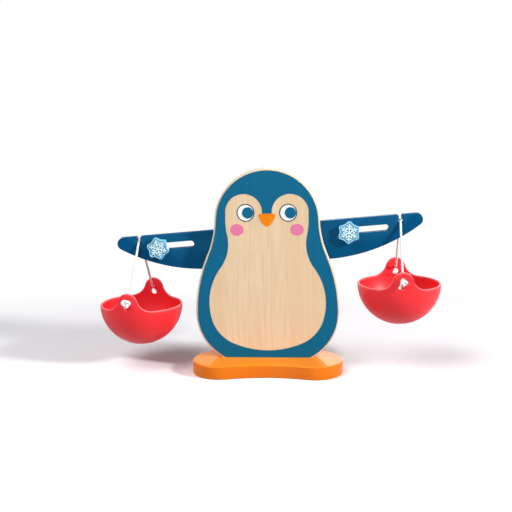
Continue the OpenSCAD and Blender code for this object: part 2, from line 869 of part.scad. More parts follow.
module cord(side, twist) {
    rings = len(route);
    points = [for (k = [0:rings - 1]) each ring(k)];
    walls = [for (k = [0:rings - 2], j = [0:cord_sides - 1])
        let (a = k * cord_sides + j, b = k * cord_sides + (j + 1) % cord_sides)
            each [[a, b, b + cord_sides], [a, b + cord_sides, a + cord_sides]]];
    first_cap = [for (j = [1:cord_sides - 2]) [0, j + 1, j]];
    far = (rings - 1) * cord_sides;
    last_cap = [for (j = [1:cord_sides - 2]) [far, far + j, far + j + 1]];
    color("white")
        on_sling(side, twist)
            polyhedron(points, concat(walls, first_cap, last_cap));
}

// Stopper knot outside each ear: two wraps round the cord, with a short tail
module knot() {
    rotate([-90, 0, 0]) {
        for (z = [0, 2 * cord_r])
            translate([0, 0, z])
                rotate_extrude()
                    translate([knot_wrap_r, 0])
                        circle(cord_r);
        cylinder(h = 3 * cord_r, r = knot_wrap_r);
    }
    translate([0, cord_r, -tail_len])
        cylinder(h = tail_len, r = cord_r);
}

module knots(side, twist) {
    color("white")
        on_sling(side, twist)
            for (turn = [0, 180])
                rotate([0, 0, turn])
                    translate([0, knot_y, -hang])
                        knot();
}

base_plate();
body_board();
plumage_print();
eye_whites();
eye_rings();
pupils();
beak_print();
cheek_prints();
base_screws();
base_dowels();
pivot_insert();
pivot_bolt();
pivot_sleeve();
spacer_washer();
rear_washer();
beam();
clamp_bolt(left_knob_x);  // left_clamp_bolt
clamp_washer(left_knob_x);  // left_clamp_washer
knob_insert(left_knob_x);  // left_knob_insert
snowflake(left_knob_x, left_knob_turn);  // left_snowflake
clamp_bolt(right_knob_x);  // right_clamp_bolt
clamp_washer(right_knob_x);  // right_clamp_washer
knob_insert(right_knob_x);  // right_knob_insert
snowflake(right_knob_x, right_knob_turn);  // right_snowflake
cord(-1, left_twist);  // left_cord
knots(-1, left_twist);  // left_knots
pail(-1, left_twist);  // left_pail
cord(1, right_twist);  // right_cord
knots(1, right_twist);  // right_knots
pail(1, right_twist);  // right_pail
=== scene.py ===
"""Looks of the penguin balance scale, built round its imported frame.
Lengths are metres, and MM turns millimetres into them."""

import json
import math

import bpy
import numpy as np
from mathutils import Matrix, Vector


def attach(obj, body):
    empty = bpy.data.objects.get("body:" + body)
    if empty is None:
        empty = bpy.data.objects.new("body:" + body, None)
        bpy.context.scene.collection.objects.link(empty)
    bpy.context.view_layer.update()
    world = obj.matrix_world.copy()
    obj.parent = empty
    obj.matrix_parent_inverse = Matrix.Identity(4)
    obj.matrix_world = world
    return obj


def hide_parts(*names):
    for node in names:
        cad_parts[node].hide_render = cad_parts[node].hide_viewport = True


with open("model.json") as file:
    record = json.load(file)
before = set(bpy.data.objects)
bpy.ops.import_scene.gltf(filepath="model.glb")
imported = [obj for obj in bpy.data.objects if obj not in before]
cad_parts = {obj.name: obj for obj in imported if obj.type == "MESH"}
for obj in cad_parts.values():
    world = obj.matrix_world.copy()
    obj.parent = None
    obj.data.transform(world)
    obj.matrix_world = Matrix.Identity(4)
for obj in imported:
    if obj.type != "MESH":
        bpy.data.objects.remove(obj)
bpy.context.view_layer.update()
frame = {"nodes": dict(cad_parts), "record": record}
scene = bpy.context.scene
nodes = frame["nodes"]
MM = 0.001

# Sizes shared with the construction, in millimetres and degrees
BASE_T, BASE_FRONT, FOOT_X, FOOT_R, FOOT_DIP, HEEL_R, BASE_EDGE = 14.8, 45, 52.3, 31, 8, 44, 1.5
SCREW_X, SCREW_HEAD_R, SCREW_R, SCREW_SINK, SCREW_CONE = 17, 4, 2, 0.6, 2.4
BOARD_T, BOARD_EDGE, BOARD_CUT, INK_T = 14, 1.8, 0.8, 0.2
BELLY_HALF, BELLY_Z, CORNER_R, SIDE_R = 79.8, 52, 59.8, 164.5
WAIST_R, HEAD_R, HEAD_Z = 108.5, 57.8, 154.5
BEAM_HALF, BEAM_T, BEAM_H, BEAM_EDGE, TIP_R, WING_FLAT = 170.7, 9, 43.2, 1, 7, 64
HUB_R, HUB_FILLET, BORE_R, BEAM_Y, PIVOT_RISE, TILT = 16, 20, 4.05, 13.3, 7, 4.75
NOTCH_X, THROAT_W, LIP_R, SADDLE_DEPTH = 146, 3.2, 2.2, 8
SEAT_R, SEAT_TOP, SEAT_STRETCH = 3, 8.05, 1.6
SLOT_W, SLOT_DROP, SLOT_START, SLOT_RUN = 7.4, 13.2, 17, 41
CROWN_DROP, CROWN_R = 6.45, 6.05
KNOB_BACK_Y, KNOB_DROP, FLAKE_R, FLAKE_VALLEY, FLAKE_T = 8.5, 14.6, 12.6, 10.7, 5.6
RIM_W, RIM_H, CRYSTAL_H, ARM_W, ARM_LEN = 1.2, 0.6, 1.1, 1.1, 9.4
BARBS = ((3.6, 3.4), (6.4, 2.2))
PAIL_R, PAIL_WALL, PAIL_FOOT_R = 46.5, 2.2, 12
EAR_H, EAR_R, EAR_FILLET = 20.5, 11.5, 16
HOLE_UP, HOLE_D, SLIT_RISE, SLIT_W = 4.2, 6.8, 5.6, 1.2
CORD_R, HANG, BEND_R, RUN_GAP = 1.25, 60.8, 5.4, 0.3
BOARD_FOOT_Z = BASE_T - BOARD_CUT
PIVOT_Z = BOARD_FOOT_Z + HEAD_Z
RIM_DROP = HANG + SLIT_RISE + HOLE_UP
SIDE = {"left": -1, "right": 1}
TWIST = {"left": 10.0, "right": 0.0}
KNOB_X = {"left": 21.4 - NOTCH_X, "right": NOTCH_X - 57.6}
KNOB_TURN = {"left": 41.0, "right": 23.0}

# Sizes drawn only here, in millimetres
BEAK_W, BEAK_H, BEAK_Z, BEAK_CORNER, BEAK_SIDE_R, BEAK_TIP_R = 18.4, 14, 163.2, 2.2, 28, 4.2
FLAKE_DIP = 0.2
PLY_LAY = 7.5
CUT_OVER = 1


# Camera at the photograph's angle
CAMERA_AIM, CAMERA_AWAY = (-12.3, -7.0, 130.25), 1.045
CAMERA_AZIMUTH, CAMERA_ELEVATION, CAMERA_ROLL = 3.0, 10.3, 0.55
SENSOR_W, FOCAL_PIXELS, FRAME_PIXELS = 36, 950, 512


def add_camera():
    """Camera on a sphere round the aim point, turned a little about its own axis."""
    azimuth, elevation, roll = (
        math.radians(a) for a in (CAMERA_AZIMUTH, CAMERA_ELEVATION, CAMERA_ROLL))
    aim = Vector(CAMERA_AIM) * MM
    ahead = Vector((-math.sin(azimuth) * math.cos(elevation),
                    math.cos(azimuth) * math.cos(elevation), -math.sin(elevation)))
    right = Vector((math.cos(azimuth), math.sin(azimuth), 0))
    up = right.cross(ahead)
    right, up = (math.cos(roll) * right - math.sin(roll) * up,
                 math.sin(roll) * right + math.cos(roll) * up)
    data = bpy.data.cameras.new("camera")
    data.sensor_width = SENSOR_W
    data.lens = SENSOR_W * FOCAL_PIXELS / FRAME_PIXELS
    data.clip_start, data.clip_end = 0.05, 50
    camera = bpy.data.objects.new("camera", data)
    place = Matrix((right, up, -ahead)).transposed().to_4x4()
    place.translation = aim - CAMERA_AWAY * ahead
    camera.matrix_world = place
    scene.collection.objects.link(camera)
    scene.camera = camera


add_camera()


# Mesh helpers
def smooth_object(name, points, faces):
    """Object with a smooth mesh, from points in millimetres."""
    mesh = bpy.data.meshes.new(name)
    mesh.from_pydata((np.asarray(points, float) * MM).tolist(), [], faces)
    mesh.update()
    shade(mesh)
    piece = bpy.data.objects.new(name, mesh)
    scene.collection.objects.link(piece)
    return piece


def shade(mesh):
    """Round faces are shaded smooth and the large flat ones level, with a crease wherever
    the surface turns sharply."""
    flat_from, crease = 50 * MM**2, math.radians(35)
    area = np.empty(len(mesh.polygons))
    mesh.polygons.foreach_get("area", area)
    mesh.polygons.foreach_set("use_smooth", area < flat_from)
    mesh.set_sharp_from_angle(angle=crease)


def mesh_piece(name, points, faces, body, slot, instead_of):
    """Visible piece that rides on a body in place of a construction node."""
    piece = smooth_object(name, points, faces)
    piece.data.materials.append(look[slot])
    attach(piece, body)
    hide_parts(instead_of)
    return piece


def cut_away(piece, points, faces):
    """Take a closed form out of a piece for good."""
    subtract(piece, smooth_object("cutter", points, outward(points, faces)))


def subtract(piece, tool):
    """Take one object's form out of another's mesh, shade the new edges and drop the tool."""
    cut = piece.modifiers.new("cut", "BOOLEAN")
    cut.operation, cut.solver, cut.object = "DIFFERENCE", "EXACT", tool
    view = bpy.context.evaluated_depsgraph_get()
    done = bpy.data.meshes.new_from_object(piece.evaluated_get(view))
    piece.modifiers.clear()
    old, spent = piece.data, tool.data
    name = old.name
    piece.data = done
    bpy.data.objects.remove(tool)
    bpy.data.meshes.remove(old)
    bpy.data.meshes.remove(spent)
    done.name = name
    shade(done)


def grid_faces(rows, columns):
    """Quads over a grid whose columns close on themselves, with a flat face over the first
    and the last row."""
    index = np.arange(rows * columns).reshape(rows, columns)
    low, high = index[:-1], index[1:]
    quads = np.stack([low, np.roll(low, -1, 1), np.roll(high, -1, 1), high], -1)
    return quads.reshape(-1, 4).tolist() + [index[0][::-1].tolist(), index[-1].tolist()]


def outward(points, faces):
    """The faces as they are, or all reversed if the quads close a negative volume."""
    p = np.asarray(points, float)
    p = p - p.mean(0)
    quads = np.array([f for f in faces if len(f) == 4])
    a, b, c, d = (p[quads[:, k]] for k in range(4))
    volume = sum(np.einsum("ij,ij->i", a, np.cross(*pair)).sum() for pair in ((b, c), (c, d)))
    return faces if volume > 0 else [list(reversed(f)) for f in faces]


def ray(angle):
    """Unit vectors at given angles in radians."""
    return np.stack([np.cos(angle), np.sin(angle)], -1)


def heading(p, q):
    """Angle in degrees of the way from one point to another."""
    return math.degrees(math.atan2(q[1] - p[1], q[0] - p[0]))


def centre_between(p, dp, q, dq):
    """Centre at given distances from two centres, on the left of the way from the first to
    the second."""
    p, q = np.asarray(p, float), np.asarray(q, float)
    v = q - p
    l = np.linalg.norm(v)
    t = (dp * dp - dq * dq + l * l) / (2 * l)
    return p + v / l * t + np.array([-v[1], v[0]]) / l * math.sqrt(dp * dp - t * t)


def chain(half, step):
    """Outline points and outward normals of a mirrored chain of arcs, each given as (centre,
    radius, first angle, last angle). A rising angle bulges and a falling one is a hollow."""
    same_point = 1e-4
    arcs = half + [((-c[0], c[1]), r, 180 - b, 180 - a) for c, r, a, b in reversed(half)]
    points, normals = [], []
    for c, r, a, b in arcs:
        rays = ray(np.radians(np.linspace(a, b, max(2, int(abs(b - a) / step) + 1))))
        points.append(np.asarray(c) + r * rays)
        normals.append(rays if b > a else -rays)
    points, normals = np.concatenate(points), np.concatenate(normals)
    keep = np.linalg.norm(points - np.roll(points, 1, 0), axis=1) > same_point
    return points[keep], normals[keep]


def rounded_plate(points, normals, thickness, edge, lowest=-math.inf):
    """Grid of a plate: rings climb over both rounded edges, each one the outline drawn in
    along its normals. A flat border ring on each face keeps the shading level, and a lowest
    height cuts the plate off straight."""
    border, steps = 0.6, 8
    level = [(0, edge + border)]
    level += [(edge * (1 - math.cos(a)), edge * (1 - math.sin(a)))
              for a in np.radians(np.linspace(0, 90, steps))]
    level += [(thickness - z, inset) for z, inset in reversed(level)]
    rings = [np.column_stack([points - inset * normals, np.full(len(points), z)])
             for z, inset in level]
    for ring, (z, inset) in zip(rings, level):
        ring[:, 1] = np.maximum(ring[:, 1], lowest + max(inset - edge, 0))
    return np.concatenate(rings), grid_faces(len(level), len(points))


def prism(outline, depth_from, depth_to):
    """Straight prism on an outline drawn in an upright plane (across, up), between two depths."""
    ends = [np.column_stack([outline[:, 0], np.full(len(outline), y), outline[:, 1]])
            for y in (depth_from, depth_to)]
    return np.concatenate(ends), grid_faces(2, len(outline))


def turned(profile):
    """Round form about the upright axis, from a profile of (radius, height)."""
    columns = 48
    rim = ray(np.linspace(0, 2 * np.pi, columns, endpoint=False))
    rings = [np.column_stack([r * rim, np.full(columns, z)]) for r, z in profile]
    return np.concatenate(rings), grid_faces(len(profile), columns)


def paint_points(mesh, name, value):
    """Attribute with one number for each point of a mesh, which its material reads."""
    layer = mesh.attributes.new(name, "FLOAT", "POINT")
    layer.data.foreach_set("value", value.ravel().astype(np.float32))


# Materials
class Shader:
    """Node graph of one material, with short calls for the nodes used here."""

    def __init__(self, name, **principled):
        """Principled surface with its sockets set, and Object coordinates for its patterns."""
        self.material = bpy.data.materials.new(name)
        self.material.use_nodes = True
        self.tree = self.material.node_tree
        self.tree.nodes.clear()
        self.out = self.add("ShaderNodeOutputMaterial")
        self.bsdf = self.add("ShaderNodeBsdfPrincipled", **principled)
        self.link(self.bsdf.outputs[0], self.out.inputs[0])
        self.where = self.add("ShaderNodeTexCoord").outputs["Object"]

    def add(self, kind, **sockets):
        """New node with its sockets set, where an underscore stands for a space."""
        node = self.tree.nodes.new(kind)
        for key, value in sockets.items():
            self.put(node.inputs[key.replace("_", " ")], value)
        return node

    def put(self, socket, value):
        """Link a socket to another node's output, or set it to a value or colour."""
        if hasattr(value, "is_output"):
            self.link(value, socket)
        elif isinstance(value, tuple) and len(value) == 3 and socket.type == "RGBA":
            socket.default_value = (*value, 1)
        else:
            socket.default_value = value

    def link(self, a, b):
        """Link an output to an input."""
        self.tree.links.new(a, b)

    def set(self, **sockets):
        """Set or link sockets of the surface."""
        for key, value in sockets.items():
            self.put(self.bsdf.inputs[key.replace("_", " ")], value)

    def scaled(self, scale, turn=(0, 0, 0), source=None):
        """Coordinates stretched along each axis and turned."""
        node = self.add("ShaderNodeMapping", Vector=self.where if source is None else source)
        node.inputs["Scale"].default_value = scale
        node.inputs["Rotation"].default_value = turn
        return node.outputs[0]

    def wander(self, scale, reach):
        """Object coordinates pushed to and fro along X by a slow noise, so that long grain
        lines lean and wave."""
        swing = self.math("SUBTRACT", self.noise(self.where, scale, detail=1), 0.5)
        push = self.math("MULTIPLY", swing, reach)
        node = self.tree.nodes.new("ShaderNodeVectorMath")
        self.link(self.where, node.inputs[0])
        self.link(self.add("ShaderNodeCombineXYZ", X=push).outputs[0], node.inputs[1])
        return node.outputs[0]

    def noise(self, vector, scale, detail=3.0, roughness=0.5, distortion=0.0):
        """Cloudy noise between 0 and 1, mostly between 0.3 and 0.7."""
        node = self.add("ShaderNodeTexNoise", Vector=vector, Scale=scale, Detail=detail,
                        Roughness=roughness, Distortion=distortion)
        return node.outputs["Fac"]

    def ramp(self, fac, *stops):
        """Colour between stops of (place, colour)."""
        node = self.add("ShaderNodeValToRGB", Fac=fac)
        ramp = node.color_ramp
        while len(ramp.elements) < len(stops):
            ramp.elements.new(0.5)
        for element, (place, colour) in zip(ramp.elements, stops):
            element.position = place
            element.color = (*colour, 1)
        return node.outputs["Color"]

    def mix(self, fac, a, b):
        """Colour between two colours."""
        node = self.tree.nodes.new("ShaderNodeMix")
        node.data_type = "RGBA"
        for place, value in ((0, fac), (6, a), (7, b)):
            self.put(node.inputs[place], value)
        return node.outputs[2]

    def math(self, kind, a, b=0.0):
        """Sum done on one or two numbers."""
        node = self.tree.nodes.new("ShaderNodeMath")
        node.operation = kind
        self.put(node.inputs[0], a)
        self.put(node.inputs[1], b)
        return node.outputs[0]

    def span(self, value, low, high, to_low, to_high):
        """Number carried in a straight line from one range to another, and held at its ends."""
        node = self.add("ShaderNodeMapRange", Value=value)
        for place, number in zip(range(1, 5), (low, high, to_low, to_high)):
            node.inputs[place].default_value = number
        return node.outputs[0]

    def spread(self, noise, to_low, to_high):
        """The usual range of a noise, carried to another range."""
        return self.span(noise, 0.3, 0.7, to_low, to_high)

    def attribute(self, name):
        """Number painted on the mesh's points."""
        node = self.tree.nodes.new("ShaderNodeAttribute")
        node.attribute_name = name
        return node.outputs["Fac"]

    def bump(self, height, strength, distance):
        """Fine relief of the surface from a height."""
        node = self.add("ShaderNodeBump", Height=height, Strength=strength, Distance=distance)
        self.set(Normal=node.outputs[0])

    def facing(self, axis):
        """1 where a face looks straight along an axis, either way, and 0 where it looks across."""
        normal = self.add("ShaderNodeNewGeometry").outputs["True Normal"]
        parts = self.add("ShaderNodeSeparateXYZ", Vector=normal).outputs
        return self.math("ABSOLUTE", parts[axis])

    def edges(self):
        """1 on outward edges and 0 on flats, from the mesh's pointiness."""
        pointiness = self.add("ShaderNodeNewGeometry").outputs["Pointiness"]
        return self.span(pointiness, 0.52, 0.6, 0, 1)


def srgb(r, g, b):
    """Linear colour of an 8-bit screen colour."""
    return tuple((c / 255 / 12.92) if c <= 10 else ((c / 255 + 0.055) / 1.055) ** 2.4
                 for c in (r, g, b))


def bare_wood(name):
    """Pale close-grained wood: long faint streaks that wave a little up the board, finer pores
    and a soft sheen. Its rounded rim, which faces neither the front nor the back, is painted
    paler: partly the sanded wood's own paler tone, partly a painted highlight where the rim
    catches the light."""
    s = Shader(name, Roughness=0.55, Specular_IOR_Level=0.2)
    lines = s.wander(scale=9, reach=0.014)
    streak = s.noise(s.scaled((260, 260, 9), source=lines), 1.6,
                     detail=6, roughness=0.68, distortion=0.3)
    broad = s.noise(s.scaled((40, 40, 2.2)), 1.2, distortion=0.8)
    pores = s.noise(s.scaled((1300, 1300, 70), source=lines), 1.0, detail=2)
    colour = s.ramp(streak, (0.3, srgb(218, 187, 149)), (0.5, srgb(231, 204, 168)),
                    (0.72, srgb(238, 214, 183)))
    colour = s.mix(s.span(broad, 0.42, 0.66, 0, 0.6), colour, srgb(225, 194, 155))
    colour = s.mix(s.span(pores, 0.6, 0.8, 0, 0.4), colour, srgb(203, 164, 121))
    # Paler rim: partly sanded wood tone, partly a painted highlight on the lit rounded edge.
    colour = s.mix(s.span(s.facing("Y"), 0.6, 0.97, 0.6, 0), colour, srgb(240, 230, 214))
    s.set(Base_Color=colour, Roughness=s.spread(streak, 0.42, 0.58))
    s.bump(streak, 0.12, 0.0004)
    return s.material


def ink(name, colour, dark):
    """Printed ink on wood: nearly even, with the grain just showing through its tone and gloss."""
    rough = 0.42
    s = Shader(name, Roughness=rough, Specular_IOR_Level=0.1)
    grain = s.noise(s.scaled((160, 160, 6)), 1.6, detail=5, roughness=0.6, distortion=0.3)
    cloud = s.noise(s.where, 18)
    tone = s.mix(s.span(grain, 0.35, 0.7, 0.0, 0.45), srgb(*colour), srgb(*dark))
    tone = s.mix(s.span(cloud, 0.3, 0.75, 0.0, 0.2), tone, srgb(*dark))
    s.set(Base_Color=tone, Roughness=s.spread(grain, rough - 0.06, rough + 0.08))
    s.bump(grain, 0.08, 0.0003)
    return s.material


def lacquer(name, colour, deep, worn, rough, gloss, coat, painted_side_shade=0.0):
    """Sprayed lacquer on wood: deep even colour, faint grain below, slight orange peel and
    paler worn edges. Upright sides are painted deeper, as painted shade where less light falls
    than on the tops."""
    s = Shader(name, Roughness=rough, Specular_IOR_Level=gloss, Coat_Weight=coat,
               Coat_Roughness=0.06)
    grain = s.noise(s.scaled((4, 60, 60)), 1.5, detail=5, roughness=0.6, distortion=0.2)
    peel = s.noise(s.where, 260, detail=2)
    tone = s.mix(s.span(grain, 0.3, 0.75, 0.0, 0.5), srgb(*colour), srgb(*deep))
    # Painted shade: faces that do not look up are mixed toward the deep colour.
    tone = s.mix(s.span(s.facing("Z"), 0.2, 0.9, painted_side_shade, 0), tone, srgb(*deep))
    tone = s.mix(s.math("MULTIPLY", s.edges(), 0.3), tone, srgb(*worn))
    s.set(Base_Color=tone, Roughness=s.spread(peel, rough - 0.05, rough + 0.07))
    s.bump(peel, 0.02, 0.0001)
    return s.material


def soft_plastic():
    """Soft red plastic: light passes a little way in; a satin skin and a painted highlight on the
    lips.
    """
    s = Shader("pail_red", Roughness=0.42, Specular_IOR_Level=0.35,
               Subsurface_Weight=0.25, Subsurface_Scale=0.003)
    s.bsdf.inputs["Subsurface Radius"].default_value = (1.0, 0.25, 0.2)
    cloud = s.noise(s.where, 30)
    skin = s.noise(s.where, 900, detail=2)
    tone = s.mix(s.spread(cloud, 0, 0.6), srgb(250, 46, 56), srgb(242, 36, 47))
    # Painted highlight: pale pink mixed in along the lips, where the lit rim shows lighter.
    tone = s.mix(s.math("MULTIPLY", s.attribute("lip"), 0.85), tone, srgb(255, 132, 132))
    s.set(Base_Color=tone, Roughness=s.spread(skin, 0.36, 0.5))
    s.bump(skin, 0.06, 0.0002)
    return s.material


def snow_plastic():
    """Moulded pale-blue plastic: a deeper field inside a pale rim, and a near-white raised
    crystal."""
    s = Shader("flake_plastic", Roughness=0.25, Specular_IOR_Level=0.5,
               Subsurface_Weight=0.2, Subsurface_Scale=0.002, Coat_Weight=0.3)
    cloud = s.noise(s.where, 260)
    side = s.mix(s.spread(cloud, 0, 1), srgb(138, 202, 232), srgb(156, 216, 242))
    field = s.mix(s.spread(cloud, 0, 1), srgb(82, 164, 196), srgb(104, 184, 210))
    tone = s.mix(s.attribute("field"), side, field)
    tone = s.mix(s.attribute("crystal"), tone, srgb(222, 244, 250))
    s.set(Base_Color=tone, Roughness=s.spread(cloud, 0.2, 0.34))
    s.bump(cloud, 0.05, 0.0002)
    return s.material


def cotton():
    """White cotton cord: a fine slanting weave in its tone, and loose fibres in its relief."""
    s = Shader("cord_white", Roughness=0.85, Specular_IOR_Level=0.2, Sheen_Weight=0.2)
    fibre = s.noise(s.where, 1600, roughness=0.6)
    weave = s.noise(s.scaled((700, 700, 500), turn=(0.6, 0.4, 0)), 1.0, detail=2)
    tone = s.mix(s.span(weave, 0.35, 0.65, 0, 1), srgb(236, 234, 235), srgb(253, 252, 252))
    s.set(Base_Color=tone, Roughness=s.spread(fibre, 0.75, 0.95))
    s.bump(fibre, 0.3, 0.0002)
    return s.material


def metal(name, colour, dark, rough):
    """Turned metal: fine machining streaks in tone and gloss, with brighter rubbed edges."""
    s = Shader(name, Metallic=1.0, Roughness=rough)
    streak = s.noise(s.scaled((300, 3000, 300)), 1.0)
    tone = s.mix(s.spread(streak, 0, 1), srgb(*colour), srgb(*dark))
    tone = s.mix(s.math("MULTIPLY", s.edges(), 0.4), tone, srgb(245, 245, 245))
    s.set(Base_Color=tone, Roughness=s.spread(streak, rough - 0.08, rough + 0.1))
    s.bump(streak, 0.05, 0.0001)
    return s.material


look = {
    "orange_paint": lacquer("orange_paint", (250, 152, 4), (238, 112, 2), (255, 180, 84),
                            rough=0.4, gloss=0.08, coat=0.3, painted_side_shade=0.7),
    "bare_wood": bare_wood("bare_wood"),
    "blue_paint": lacquer("blue_paint", (0, 82, 127), (0, 70, 112), (38, 118, 156),
                          rough=0.5, gloss=0.04, coat=0.02),
    "blue_ink": ink("blue_ink", (8, 102, 140), (2, 92, 128)),
    "white_ink": ink("white_ink", (250, 250, 248), (240, 240, 236)),
    "navy_ink": ink("navy_ink", (8, 62, 96), (4, 46, 78)),
    "orange_ink": ink("orange_ink", (246, 138, 10), (238, 122, 4)),
    "pink_ink": ink("pink_ink", (232, 128, 170), (224, 112, 158)),
    "steel": metal("steel", (166, 168, 172), (128, 130, 136), rough=0.3),
    "brass": metal("brass", (200, 160, 84), (168, 128, 58), rough=0.32),
    "dowel_wood": bare_wood("dowel_wood"),
    "flake_plastic": snow_plastic(),
    "cord_white": cotton(),
    "pail_red": soft_plastic(),
}
for part in frame["record"]["subparts"]:
    mesh = nodes[part["node"]].data
    mesh.materials.clear()
    mesh.materials.append(look[part["material_slot"]])


# Stand
def base_plate():
    """Orange base: two front lobes, a hollow between them and a straight back, all with rounded
    edges. Two countersunk screw holes open under it."""
    foot = np.array([FOOT_X, FOOT_R - BASE_FRONT])
    drop = FOOT_R - FOOT_DIP
    dip_r = (FOOT_X**2 + drop**2 - FOOT_R**2) / (2 * FOOT_DIP)
    dip = np.array([0, FOOT_DIP - BASE_FRONT - dip_r])
    heel = np.array([FOOT_X + FOOT_R - HEEL_R, foot[1]])
    half = [(dip, dip_r, 90, heading(dip, foot)), (foot, FOOT_R, heading(foot, dip), 0),
            (heel, HEEL_R, 0, 90)]
    points, faces = rounded_plate(*chain(half, step=1.5), BASE_T, BASE_EDGE)
    piece = mesh_piece("base_body", points, outward(points, faces),
                       "stand", "orange_paint", "base_plate")
    hole = [(SCREW_HEAD_R, -CUT_OVER), (SCREW_HEAD_R, SCREW_SINK),
            (SCREW_R, SCREW_SINK + SCREW_CONE), (SCREW_R, BASE_T + CUT_OVER)]
    for x in (-SCREW_X, SCREW_X):
        points, faces = turned(hole)
        cut_away(piece, points + [x, 0, 0], faces)


def penguin_board():
    """Penguin board: round head, hollow waist and full belly, cut flat at its foot, with
    rounded edges."""
    head = np.array([0, HEAD_Z])
    corner = np.array([BELLY_HALF - CORNER_R, BELLY_Z])
    side = np.array([BELLY_HALF - SIDE_R, BELLY_Z])
    waist = centre_between(head, HEAD_R + WAIST_R, side, SIDE_R + WAIST_R)
    low, high = heading(side, waist), heading(head, waist)
    half = [(corner, CORNER_R, -90, 0), (side, SIDE_R, 0, low),
            (waist, WAIST_R, low + 180, high + 180), (head, HEAD_R, high, 90)]
    points, faces = rounded_plate(*chain(half, step=1.5), BOARD_T, BOARD_EDGE, BOARD_CUT)
    upright = np.column_stack([points[:, 0], BOARD_T / 2 - points[:, 2],
                               BOARD_FOOT_Z + points[:, 1]])
    mesh_piece("board_body", upright, outward(upright, faces),
               "stand", "bare_wood", "body_board")


def beak_ink():
    """Beak as a thin layer of ink over the plumage: a flat top with rounded corners, sides that
    bulge on a large arc and a broad round tip."""
    tip = np.array([0, BEAK_Z - BEAK_H + BEAK_TIP_R])
    corner = np.array([BEAK_W / 2 - BEAK_CORNER, BEAK_Z - BEAK_CORNER])
    side = centre_between(tip, BEAK_SIDE_R - BEAK_TIP_R, corner, BEAK_SIDE_R - BEAK_CORNER)
    low, high = heading(side, tip), heading(side, corner)
    half = [(tip, BEAK_TIP_R, -90, low), (side, BEAK_SIDE_R, low, high),
            (corner, BEAK_CORNER, high, 90)]
    outline, _ = chain(half, step=2)
    points, faces = prism(outline + [0, BOARD_FOOT_Z],
                          -BOARD_T / 2 - 2 * INK_T, -BOARD_T / 2 - INK_T)
    mesh_piece("beak_ink_layer", points, outward(points, faces),
               "stand", "orange_ink", "beak_print")


base_plate()
penguin_board()
beak_ink()


# Beam
def on_beam(points):
    """Points in the beam's own frame (along, depth, up from its straight top edge) in the row
    frame."""
    t = math.radians(TILT)
    along, up = points[:, 0], points[:, 2] - PIVOT_RISE
    return np.column_stack([along * math.cos(t) - up * math.sin(t), points[:, 1],
                            PIVOT_Z + along * math.sin(t) + up * math.cos(t)])


def notch_outline(x):
    """Keyhole outline at a place along the beam: a mouth between two rolled lips, a narrow
    throat and a tall round seat."""
    half = THROAT_W / 2
    lip = np.array([half + LIP_R, -LIP_R]) + LIP_R * ray(np.radians(np.linspace(90, 180, 9)))
    shoulder = math.acos(half / SEAT_R)
    upper = np.array([0, -SEAT_TOP]) + SEAT_R * ray(np.linspace(shoulder, 0, 9))
    seat_foot = np.array([0, -SEAT_TOP - SEAT_STRETCH])
    lower = seat_foot + SEAT_R * ray(np.linspace(0, -np.pi / 2, 13))
    right = np.concatenate([[[half + LIP_R, CUT_OVER]], lip, upper, lower])
    return np.concatenate([right, right[-2::-1] * [-1, 1]]) + [x, 0]


def slot_outline(x):
    """Long round-ended outline that starts at a place along the beam."""
    ends = [np.array([x + run, -SLOT_DROP])
            + SLOT_W / 2 * ray(np.radians(np.linspace(a, a + 180, 25)))
            for run, a in ((SLOT_RUN, -90), (0, 90))]
    return np.concatenate(ends)


def wing_beam():
    """Wing beam: a straight top edge with a round hub in its middle, and an underside that
    sweeps up to two round tips. Each cord notch keeps a floor that is round from front to back,
    like a saddle."""
    tip = np.array([BEAM_HALF - TIP_R, -TIP_R])
    run, drop = tip[0] - WING_FLAT, BEAM_H - TIP_R
    wing_r = (run**2 + drop**2 - TIP_R**2) / (2 * (drop - TIP_R))
    wing = np.array([WING_FLAT, wing_r - BEAM_H])
    hub = np.array([0, PIVOT_RISE])
    reach = math.sqrt((HUB_R + HUB_FILLET) ** 2 - (HUB_FILLET - PIVOT_RISE) ** 2)
    fillet = np.array([reach, HUB_FILLET])
    half = [(wing, wing_r, -90, heading(wing, tip)), (tip, TIP_R, heading(wing, tip), 90),
            (fillet, HUB_FILLET, 270, heading(hub, fillet) + 180),
            (hub, HUB_R, heading(hub, fillet), 90)]
    points, faces = rounded_plate(*chain(half, step=1.2), BEAM_T, BEAM_EDGE)
    depth = BEAM_Y + BEAM_T / 2 - points[:, 2]
    points = on_beam(np.column_stack([points[:, 0], depth, points[:, 1]]))
    piece = mesh_piece("wing_bar", points, outward(points, faces),
                       "wing_beam", "blue_paint", "beam")
    front, back = BEAM_Y - BEAM_T / 2 - CUT_OVER, BEAM_Y + BEAM_T / 2 + CUT_OVER
    saddle, saddle_faces = turned([(BEAM_T / 2, -2 * SEAT_R), (BEAM_T / 2, 2 * SEAT_R)])
    saddle = np.column_stack([saddle[:, 2], saddle[:, 0] + BEAM_Y,
                              saddle[:, 1] - SADDLE_DEPTH - BEAM_T / 2])
    for side in (-1, 1):
        points, faces = prism(notch_outline(side * NOTCH_X), front, back)
        points = on_beam(points)
        tool = smooth_object("notch", points, outward(points, faces))
        cut_away(tool, on_beam(saddle + [side * NOTCH_X, 0, 0]), saddle_faces)
        subtract(piece, tool)
    bore = BORE_R * ray(np.linspace(0, 2 * np.pi, 48, endpoint=False)) + [0, PIVOT_RISE]
    for outline in (slot_outline(SLOT_START - NOTCH_X),
                    slot_outline(NOTCH_X - SLOT_START - SLOT_RUN), bore):
        points, faces = prism(outline, front, back)
        cut_away(piece, on_beam(points), faces)


wing_beam()


# Snowflake knobs
def rise(value, low, high):
    """Smooth rise from 0 to 1 between two values."""
    t = np.clip((value - low) / (high - low), 0, 1)
    return t * t * (3 - 2 * t)


def flake_reach(angle):
    """Outline radius of the knob: a six-fold wave from the hollows out to round points, a
    little narrower at the points."""
    narrow = 1.35
    hollow = FLAKE_VALLEY - FLAKE_DIP
    return hollow + (FLAKE_R - hollow) * (0.5 + 0.5 * np.cos(6 * angle)) ** narrow


